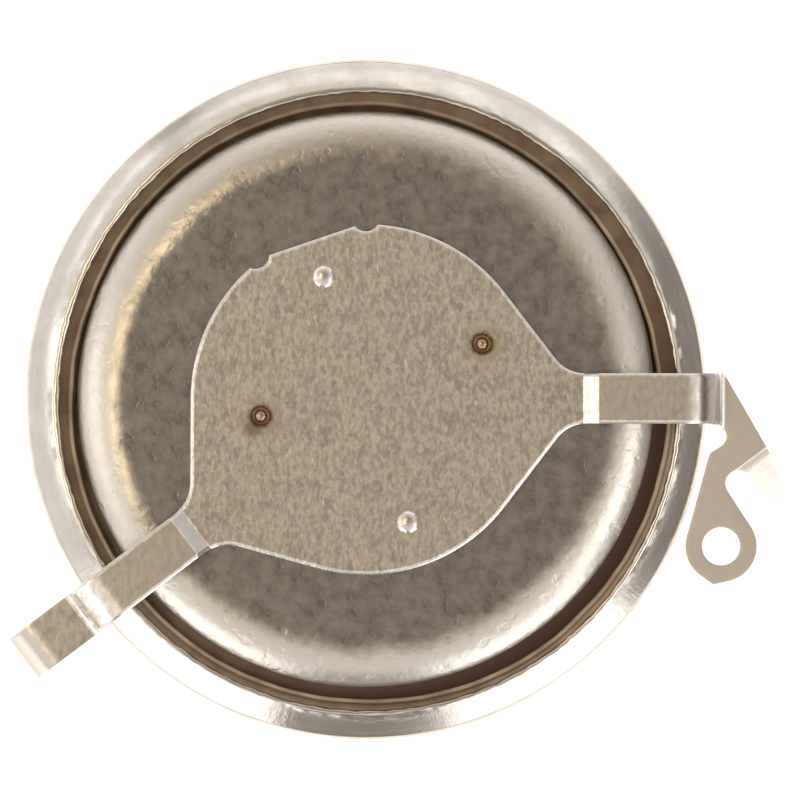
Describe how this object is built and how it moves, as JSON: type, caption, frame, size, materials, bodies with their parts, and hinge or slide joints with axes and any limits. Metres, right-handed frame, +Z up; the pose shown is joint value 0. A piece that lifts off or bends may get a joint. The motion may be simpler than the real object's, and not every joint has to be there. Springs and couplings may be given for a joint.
{
  "type": "watch battery capacitor",
  "caption": "Coin capacitor for a watch with a folded contact strip spot welded to its cap, ending in a ring terminal, a spring finger and a bent foot.",
  "frame": {"origin": "centre of the can's flat bottom", "axes": "+Z up the cell's axis towards the negative cap, +X along the terminal arm, -Z out of the can's bottom"},
  "size_m": [0.0109, 0.0094, 0.0023],
  "materials": {
    "can_steel": "satin",
    "cap_steel": "satin",
    "strip_steel": "satin",
    "gasket_plastic": "satin",
    "graphite_layer": "satin",
    "carbon_disc": "matte",
    "separator_paper": "matte"
  },
  "bodies": {
    "root": {"positive_can": "can_steel", "gasket": "gasket_plastic", "negative_cap": "cap_steel", "contact_strip": "strip_steel", "positive_collector": "graphite_layer", "positive_electrode": "carbon_disc", "separator": "separator_paper", "negative_electrode": "carbon_disc", "negative_collector": "graphite_layer"}
  },
  "joints": []
}
